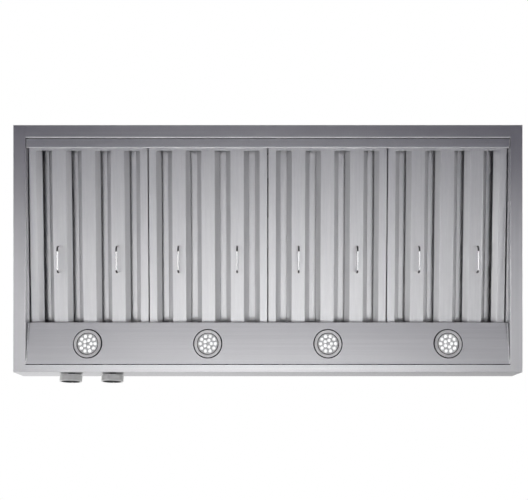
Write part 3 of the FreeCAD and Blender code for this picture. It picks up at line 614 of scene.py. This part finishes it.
handleModel = handleLoop("handleModel")
for number in range(1, 5):
    body = "filter_%d" % number
    frameLow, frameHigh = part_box(body + "_frame")
    rear = frameHigh.y - filterSheets["thick"] * math.sin(filterSheets["tilt"])
    corner = Matrix.Translation(((frameLow.x + frameHigh.x) / 2, rear, frameLow.z))
    filterPlace = corner @ Matrix.Rotation(-filterSheets["tilt"], 4, "X")
    for part, bend in (("frame", "frame"), ("front_slats", "slats"), ("rear_slats", "slats")):
        node = body + "_" + part
        sheet = softenedSheet(node, filterSheets[bend], filterSheets["rim"])
        dress(sheet, filterSteel, body, "filter_steel", node)
    pair = []
    bright = wireSteel(body + "Wire", wireLook, filterPlace.to_translation(), (-filterSheets["tilt"], 0, 0))
    wireLow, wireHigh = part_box(body + "_handles")
    across = (wireHigh.x - wireLow.x) / 2 - handleWires["wire"]
    for side in (-1, 1):
        loop = copyOf(handleModel, "loop")
        shift = Matrix.Translation((side * across, 0, 0))
        pair.append(settle(loop, filterPlace @ shift))
    wires = joined(pair, body + "_wires")
    dress(wires, bright, body, "filter_steel", body + "_handles")
bpy.data.objects.remove(handleModel)
print("filters and handles made")


# Lamps

lampRow = {"fromEdge": 0.056, "hem": 0.010, "slope": math.radians(8.2), "sides": 72}
bezelRings = [
    (0.0330, 0.0), (0.0330, -0.0015), (0.0327, -0.0023), (0.0320, -0.0030), (0.0264, -0.0030),
    (0.0259, -0.0027), (0.0256, -0.0014), (0.0246, -0.0014), (0.0243, -0.0024), (0.0240, -0.0025),
    (0.0235, -0.0021), (0.0234, 0.0040), (0.0254, 0.0041), (0.0254, 0.0110), (0.0288, 0.0110),
    (0.0288, 0.0), (0.0330, 0.0),
]
lensRings = [
    (0.0252, 0.0074), (0.0252, 0.0046), (0.0233, 0.0043), (0.0232, -0.0004), (0.0228, -0.0008),
    (0.0180, -0.0010), (0.0090, -0.0012), (0.0, -0.0012),
]
emitterRings = [(0.0036, 0.0004), (0.0035, -0.0004), (0.0028, -0.0011), (0.0015, -0.0014), (0.0, -0.0015)]
# painted shade: black rings round the bezel and in its groove, where only shade falls
shadeSealRings = [
    [(0.0322, 0.0), (0.0350, 0.0), (0.0351, -0.0005), (0.0348, -0.0010), (0.0322, -0.0010), (0.0322, 0.0)],
    [(0.0244, -0.0013), (0.0258, -0.0013), (0.0258, -0.0022), (0.0244, -0.0022), (0.0244, -0.0013)],
]
emitterCircles = [(10, 0.0180), (5, 0.0082)]    # count and radius
emitterSink = -0.0008

bezelModel = turnedPiece("bezelModel", bezelRings, lampRow["sides"])
lensModel = turnedPiece("lensModel", lensRings, lampRow["sides"], capped=True)
shadeSealModel = joined([turnedPiece("seal", rings, lampRow["sides"]) for rings in shadeSealRings], "shadeSealModel")
domeModel = turnedPiece("domeModel", emitterRings, 14, capped=True)
domes = []
for count, radius in emitterCircles:
    for step in range(count):
        turn = math.pi + step * 2 * math.pi / count
        spot = (radius * math.cos(turn), radius * math.sin(turn), emitterSink)
        domes.append(settle(copyOf(domeModel, "dome"), Matrix.Translation(spot)))
domeSet = joined(domes, "domeSet")
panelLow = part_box("light_panel")[0]
lampY = panelLow.y + lampRow["fromEdge"]
lampZ = panelLow.z + (lampRow["fromEdge"] - lampRow["hem"]) * math.tan(lampRow["slope"])
for number in range(1, 5):
    bezelLow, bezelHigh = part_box("lamp_%d_bezel" % number)
    centre = Vector(((bezelLow.x + bezelHigh.x) / 2, lampY, lampZ))
    lampPlace = Matrix.Translation(centre) @ Matrix.Rotation(lampRow["slope"], 4, "X")
    satin = turnedSteel("bezelSatin%d" % number, centre, (lampRow["slope"], 0, 0), bezelLook)
    bezel = settle(copyOf(bezelModel, "lamp_%d_ring" % number), lampPlace)
    dress(bezel, satin, "canopy", "bezel_nickel", "lamp_%d_bezel" % number)
    lens = settle(copyOf(lensModel, "lamp_%d_glass" % number), lampPlace)
    dress(lens, lensFrost, "canopy", "lamp_lens", "lamp_%d_lens" % number)
    # the black rings are painted shade round the bezel
    seal = settle(copyOf(shadeSealModel, "lamp_%d_seals" % number), lampPlace)
    dress(seal, paintedShadeSeal, "canopy", "switch_plastic")
    dots = settle(copyOf(domeSet, "lamp_%d_emitters" % number), lampPlace)
    dress(dots, emitters, "canopy", "lamp_lens")
for model in (bezelModel, lensModel, shadeSealModel, domeModel, domeSet):
    bpy.data.objects.remove(model)
print("lamps made")


# Knobs

knobSizes = {
    "sides": 80, "radius": 0.0266, "gap": 0.0024, "depth": 0.0180, "lean": math.radians(108.9),
    "groove": 0.00045, "grooves": 4, "firstGroove": 0.0054, "pitch": 0.0031,
}


def knobRings():
    size = knobSizes
    end = size["depth"]
    gap = size["gap"]
    rings = [(0.0236, gap), (0.0258, gap), (0.0263, gap + 0.0003), (size["radius"], gap + 0.0010)]
    for step in range(size["grooves"]):
        along = size["firstGroove"] + step * size["pitch"]
        rings += [
            (size["radius"], along - 0.0009), (size["radius"] - size["groove"], along - 0.0002),
            (size["radius"] - size["groove"], along + 0.0002), (size["radius"], along + 0.0009),
        ]
    rings += [
        (size["radius"], end - 0.0014), (0.0264, end - 0.0010), (0.0256, end - 0.0003), (0.0252, end),
        (0.0226, end), (0.0223, end - 0.0003), (0.0220, end - 0.0016), (0.0, end - 0.0016),
    ]
    return rings


knobEnd = knobSizes["depth"]
inlayRings = [
    (0.0219, knobEnd - 0.0016), (0.0219, knobEnd - 0.0004), (0.0215, knobEnd - 0.0001),
    (0.0120, knobEnd), (0.0, knobEnd),
]
pointerSizes = {"middle": 0.0145, "box": (0.0018, 0.0115, 0.0008), "ease": 0.0003}


def pointerBar(name):
    # the pale line let into the knob's face
    bpy.ops.object.select_all(action="DESELECT")
    bpy.ops.mesh.primitive_cube_add(size=1, location=(0, pointerSizes["middle"], knobEnd))
    bar = bpy.context.object
    bar.name = name
    bar.scale = pointerSizes["box"]
    bpy.ops.object.transform_apply(location=True, rotation=True, scale=True)
    editAll(bar)
    bpy.ops.mesh.bevel(offset=pointerSizes["ease"], segments=2, affect="EDGES")
    bpy.ops.object.mode_set(mode="OBJECT")
    return closeUp(bar)


knobModel = turnedPiece("knobModel", knobRings(), knobSizes["sides"], capped=True, angle=20)
inlayModel = turnedPiece("inlayModel", inlayRings, knobSizes["sides"], capped=True)
barModel = pointerBar("barModel")
for joint in frame["joints"]:
    if not joint["name"].endswith("_knob_turn"):
        continue
    body = joint["child"]
    word = body.split("_")[0]
    knobPlace = Matrix.Translation(joint["pos_m"]) @ Matrix.Rotation(knobSizes["lean"], 4, "X")
    satin = turnedSteel(word + "KnobSteel", joint["pos_m"], (knobSizes["lean"], 0, 0), knobLook)
    knob = settle(copyOf(knobModel, word + "_knob_turned"), knobPlace)
    dress(knob, satin, body, "knob_steel", word + "_knob")
    inlay = settle(copyOf(inlayModel, word + "_knob_inlay"), knobPlace)
    dress(inlay, knobInlay, body, "switch_plastic")
    bar = settle(copyOf(barModel, word + "_knob_pointer"), knobPlace)
    dress(bar, pointerPaint, body, "lamp_lens")
for model in (knobModel, inlayModel, barModel):
    bpy.data.objects.remove(model)
print("knobs made")


# Duct collar and screws on the top

collarSizes = {
    "wall": 0.0008, "flange": 0.018, "flangeThick": 0.0010, "bead": 0.0013, "sides": 112,
    "screws": 8, "screwReach": 0.1355,
}
collarLow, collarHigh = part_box("duct_collar")
collarX, collarY = (collarLow.x + collarHigh.x) / 2, (collarLow.y + collarHigh.y) / 2
flangeReach = (collarHigh.x - collarLow.x) / 2
outer = flangeReach - collarSizes["flange"]
inner = outer - collarSizes["wall"]
foot, lip = collarLow.z, collarHigh.z
deck = foot + collarSizes["flangeThick"]


def collarBead(wall, way):
    # the shallow groove rolled into the collar below its lip, up the wall or down it
    groove = [(0, 0.0230), (0.5, 0.0212), (1, 0.0190), (0.5, 0.0168), (0, 0.0150)]
    return [(wall - collarSizes["bead"] * depth, lip - drop) for depth, drop in groove[::way]]


collarRings = [
    (flangeReach, foot), (flangeReach, deck), (outer + 0.0022, deck), (outer + 0.0007, foot + 0.0016),
    (outer, foot + 0.0030), *collarBead(outer, 1), (outer, lip - 0.0016), (outer - 0.0003, lip - 0.0003),
    (outer - 0.0006, lip), (inner - 0.0003, lip - 0.0003), (inner, lip - 0.0016), *collarBead(inner, -1),
    (inner, foot), (flangeReach, foot),
]
collar = turnedPiece("duct_collar_rolled", collarRings, collarSizes["sides"])
settle(collar, Matrix.Translation((collarX, collarY, 0)))
dress(collar, galvanised, "canopy", "galvanised", "duct_collar")

screwSizes = {"radius": 0.0037, "tall": 0.0036, "middle": 0.0026, "topFrom": 0.004, "ease": 0.0006}
washerRings = [(0.0052, 0), (0.0052, 0.0006), (0.0047, 0.0010), (0.0030, 0.0011), (0.0, 0.0011)]


def hexScrew(name):
    # a sheet screw with a washer under its six sided head
    washer = turnedPiece("washer", washerRings, 24, capped=True)
    bpy.ops.object.select_all(action="DESELECT")
    bpy.ops.mesh.primitive_cylinder_add(
        vertices=6, radius=screwSizes["radius"], depth=screwSizes["tall"], location=(0, 0, screwSizes["middle"]))
    head = bpy.context.object
    bpy.ops.object.transform_apply(location=True, rotation=True, scale=True)
    editAll(head)
    pickEdges(head, lambda edge: all(corner.co.z > screwSizes["topFrom"] for corner in edge.verts))
    bpy.ops.mesh.bevel(offset=screwSizes["ease"], segments=2, affect="EDGES")
    bpy.ops.object.mode_set(mode="OBJECT")
    bpy.ops.object.shade_smooth_by_angle(angle=math.radians(25))
    return joined([washer, head], name)


screwModel = hexScrew("screwModel")
screws = []
for step in range(collarSizes["screws"]):
    turn = (step + 0.5) * 2 * math.pi / collarSizes["screws"]
    reach = collarSizes["screwReach"]
    spot = Matrix.Translation((collarX + reach * math.cos(turn), collarY + reach * math.sin(turn), deck))
    screws.append(settle(copyOf(screwModel, "screw"), spot @ Matrix.Rotation(turn * 3, 4, "Z")))
screwSet = joined(screws, "collar_screws")
dress(screwSet, canMetal, "canopy", "axle_steel")
bpy.data.objects.remove(screwModel)
print("duct collar and screws made")


# Finishes on the pieces that keep their own solid

keptFinishes = {
    "galvanised": galvanised, "motor_black": motorPaint, "switch_plastic": switchBody, "lamp_can": canMetal,
    "axle_steel": canMetal,
}
slotOf = {part["node"]: part["material_slot"] for part in frame["record"]["subparts"]}
kept = 0
for name, node in frame["nodes"].items():
    if node.hide_render:
        continue
    node.data.materials.clear()
    node.data.materials.append(keptFinishes[slotOf[name]])
    kept += 1
print("kept solids dressed:", kept)


# Floor, light and camera

stageSizes = {"floor": -1.75, "halfWide": 3.8, "front": -2.6, "rear": 1.9, "flatTop": -0.15}
stageRamps = {      # where the mirrored tone changes, in metres
    "wallToFront": (0.7, -1.0), "behind": (0.85, 1.25), "outer": (2.2, 2.9), "low": (-1.15, -1.45),
}
# glow of the floor and the flats: even and pale straight on, and in the steel painted light, dim except at the
# outer ends and behind
floorLook = {
    "straight": (0.70, 0.70, 0.70, 1), "rear": (0.024, 0.020, 0.050, 1),
    "front": (0.018, 0.016, 0.034, 1), "outer": (0.44, 0.44, 0.45, 1),
}
flatLook = {
    "straight": (0.96, 0.96, 0.96, 1), "rear": (0.085, 0.083, 0.092, 1),
    "front": (0.26, 0.26, 0.265, 1), "outer": (0.58, 0.58, 0.59, 1),
}
behindTone = (0.45, 0.45, 0.455, 1)


def stagePlane(name, size, place, lean, look):
    # a painted board that glows: pale and even straight on, and in the steel a glow of painted light, dim except
    # at its outer ends and behind the wall
    bpy.ops.object.select_all(action="DESELECT")
    bpy.ops.mesh.primitive_plane_add(size=1, location=place, rotation=(0, lean, 0))
    board = bpy.context.object
    board.name = name
    board.scale = (size[0], size[1], 1)
    bpy.ops.object.transform_apply(location=True, rotation=True, scale=True)
    paint = newFinish(name + "Paint")
    point = paint.place()
    speckle = paint.noise(point, 3.0, 3.0)
    y = paint.part(point, "y")
    forward = paint.ramp(y, *stageRamps["wallToFront"])
    behind = paint.ramp(y, *stageRamps["behind"])
    outer = paint.ramp(abs(paint.part(point, "x")), *stageRamps["outer"])
    low = paint.ramp(paint.part(point, "z"), *stageRamps["low"])
    # painted light: the boards' glow in the steel, darkest towards the wall and brighter at the outer ends low
    # down
    paintedReflection = paint.mix(forward, look["rear"], paint.mix(outer * low, look["front"], look["outer"]))
    mirrored = paint.lightPath("Is Glossy Ray") + paint.lightPath("Is Transmission Ray")
    seen = paint.mix(mirrored, (0, 0, 0, 1), paint.mix(behind, paintedReflection, behindTone))
    board.data.materials.append(paint.surface({
        "Base Color": paint.mix(speckle, (0.80, 0.80, 0.80, 1), (0.83, 0.83, 0.83, 1)),
        "Roughness": 0.85,
        "Emission Color": paint.mix(paint.lightPath("Is Camera Ray"), seen, look["straight"]),
        "Emission Strength": 1.0,
    }))


boardLength = stageSizes["rear"] - stageSizes["front"]
boardMiddle = (stageSizes["rear"] + stageSizes["front"]) / 2
flatHeight = stageSizes["flatTop"] - stageSizes["floor"]
floorSize = (2 * stageSizes["halfWide"], boardLength)
stagePlane("studioFloor", floorSize, (0, boardMiddle, stageSizes["floor"]), 0, floorLook)
for side in (-1, 1):
    flatPlace = (side * stageSizes["halfWide"], boardMiddle, stageSizes["floor"] + flatHeight / 2)
    stagePlane("sideFlat", (flatHeight, boardLength), flatPlace, -side * math.pi / 2, flatLook)

studioLamps = [     # name, place, aim, size, power in watts, spread in degrees
    ("floorStrip", (0.1, -0.68, -0.41), (0.1, -1.15, -1.75), (2.4, 0.3), 23.2, 136),
    ("sideStrip", (-1.9, -0.45, -1.74), (-1.9, -0.45, 0), (0.3, 0.45), 3.6, 180),
    ("sideStrip", (1.9, -0.45, -1.74), (1.9, -0.45, 0), (0.3, 0.45), 3.6, 180),
    ("floorGlow", (2.6, -1.0, -1.74), (2.6, -1.0, 0), (0.8, 0.8), 1.1, 180),
    ("keySoftbox", (1.75, -1.5, 1.85), (0.3, -0.4, 0.1), (1.6, 1.2), 1.2, 180),
]
for name, place, aim, size, power, spread in studioLamps:
    light = bpy.data.lights.new(name, "AREA")
    light.shape = "RECTANGLE"
    light.size, light.size_y = size
    light.energy = power
    light.spread = math.radians(spread)
    lamp = bpy.data.objects.new(name, light)
    lamp.location = place
    lamp.visible_camera = False
    lamp.rotation_euler = (Vector(aim) - Vector(place)).to_track_quat("-Z", "Y").to_euler()
    bpy.context.scene.collection.objects.link(lamp)

# The steel mirrors a room that is a little greyer on the photo's right.
roomLook = {"ambient": 0.02, "rightTone": 0.66, "grades": (-0.40, 0.10)}
world = bpy.data.worlds.new("studioWorld")
bpy.context.scene.world = world
sky = Finish(world)
direct = sky.lightPath("Is Camera Ray")
seen = (direct + sky.lightPath("Is Glossy Ray") + sky.lightPath("Is Transmission Ray")) > 0.5
across = sky.part(sky.node("ShaderNodeTexCoord", output="Generated"), "x")
rightTone = roomLook["rightTone"]
grey = rightTone + sky.ramp(across, *roomLook["grades"]) * (1 - rightTone)
tone = sky.mix(direct, sky.mix(grey, (0, 0, 0, 1), (1, 1, 1, 1)), (1, 1, 1, 1))
plain = sky.node("ShaderNodeBackground", inputs={"Color": (1, 1, 1, 1), "Strength": roomLook["ambient"]})
white = sky.node("ShaderNodeBackground", inputs={"Color": tone, "Strength": 1.0})
both = sky.node("ShaderNodeMixShader", inputs={0: seen, 1: plain, 2: white})
sky.node("ShaderNodeOutputWorld", inputs={"Surface": both})

# The photo looks straight up at the underside; image-up is towards the wall.
cameraPlace = {"x": 0.0093, "y": -0.2996, "z": -1.529, "lens": 43.56}
eye = bpy.data.cameras.new("photoCamera")
eye.sensor_width = 36
eye.lens = cameraPlace["lens"]
eye.clip_start = 0.01
eyeObject = bpy.data.objects.new("photoCamera", eye)
eyeObject.location = (cameraPlace["x"], cameraPlace["y"], cameraPlace["z"])
eyeObject.rotation_euler = (0, math.pi, 0)
bpy.context.scene.collection.objects.link(eyeObject)
bpy.context.scene.camera = eyeObject

bpy.context.scene.view_settings.view_transform = "Standard"
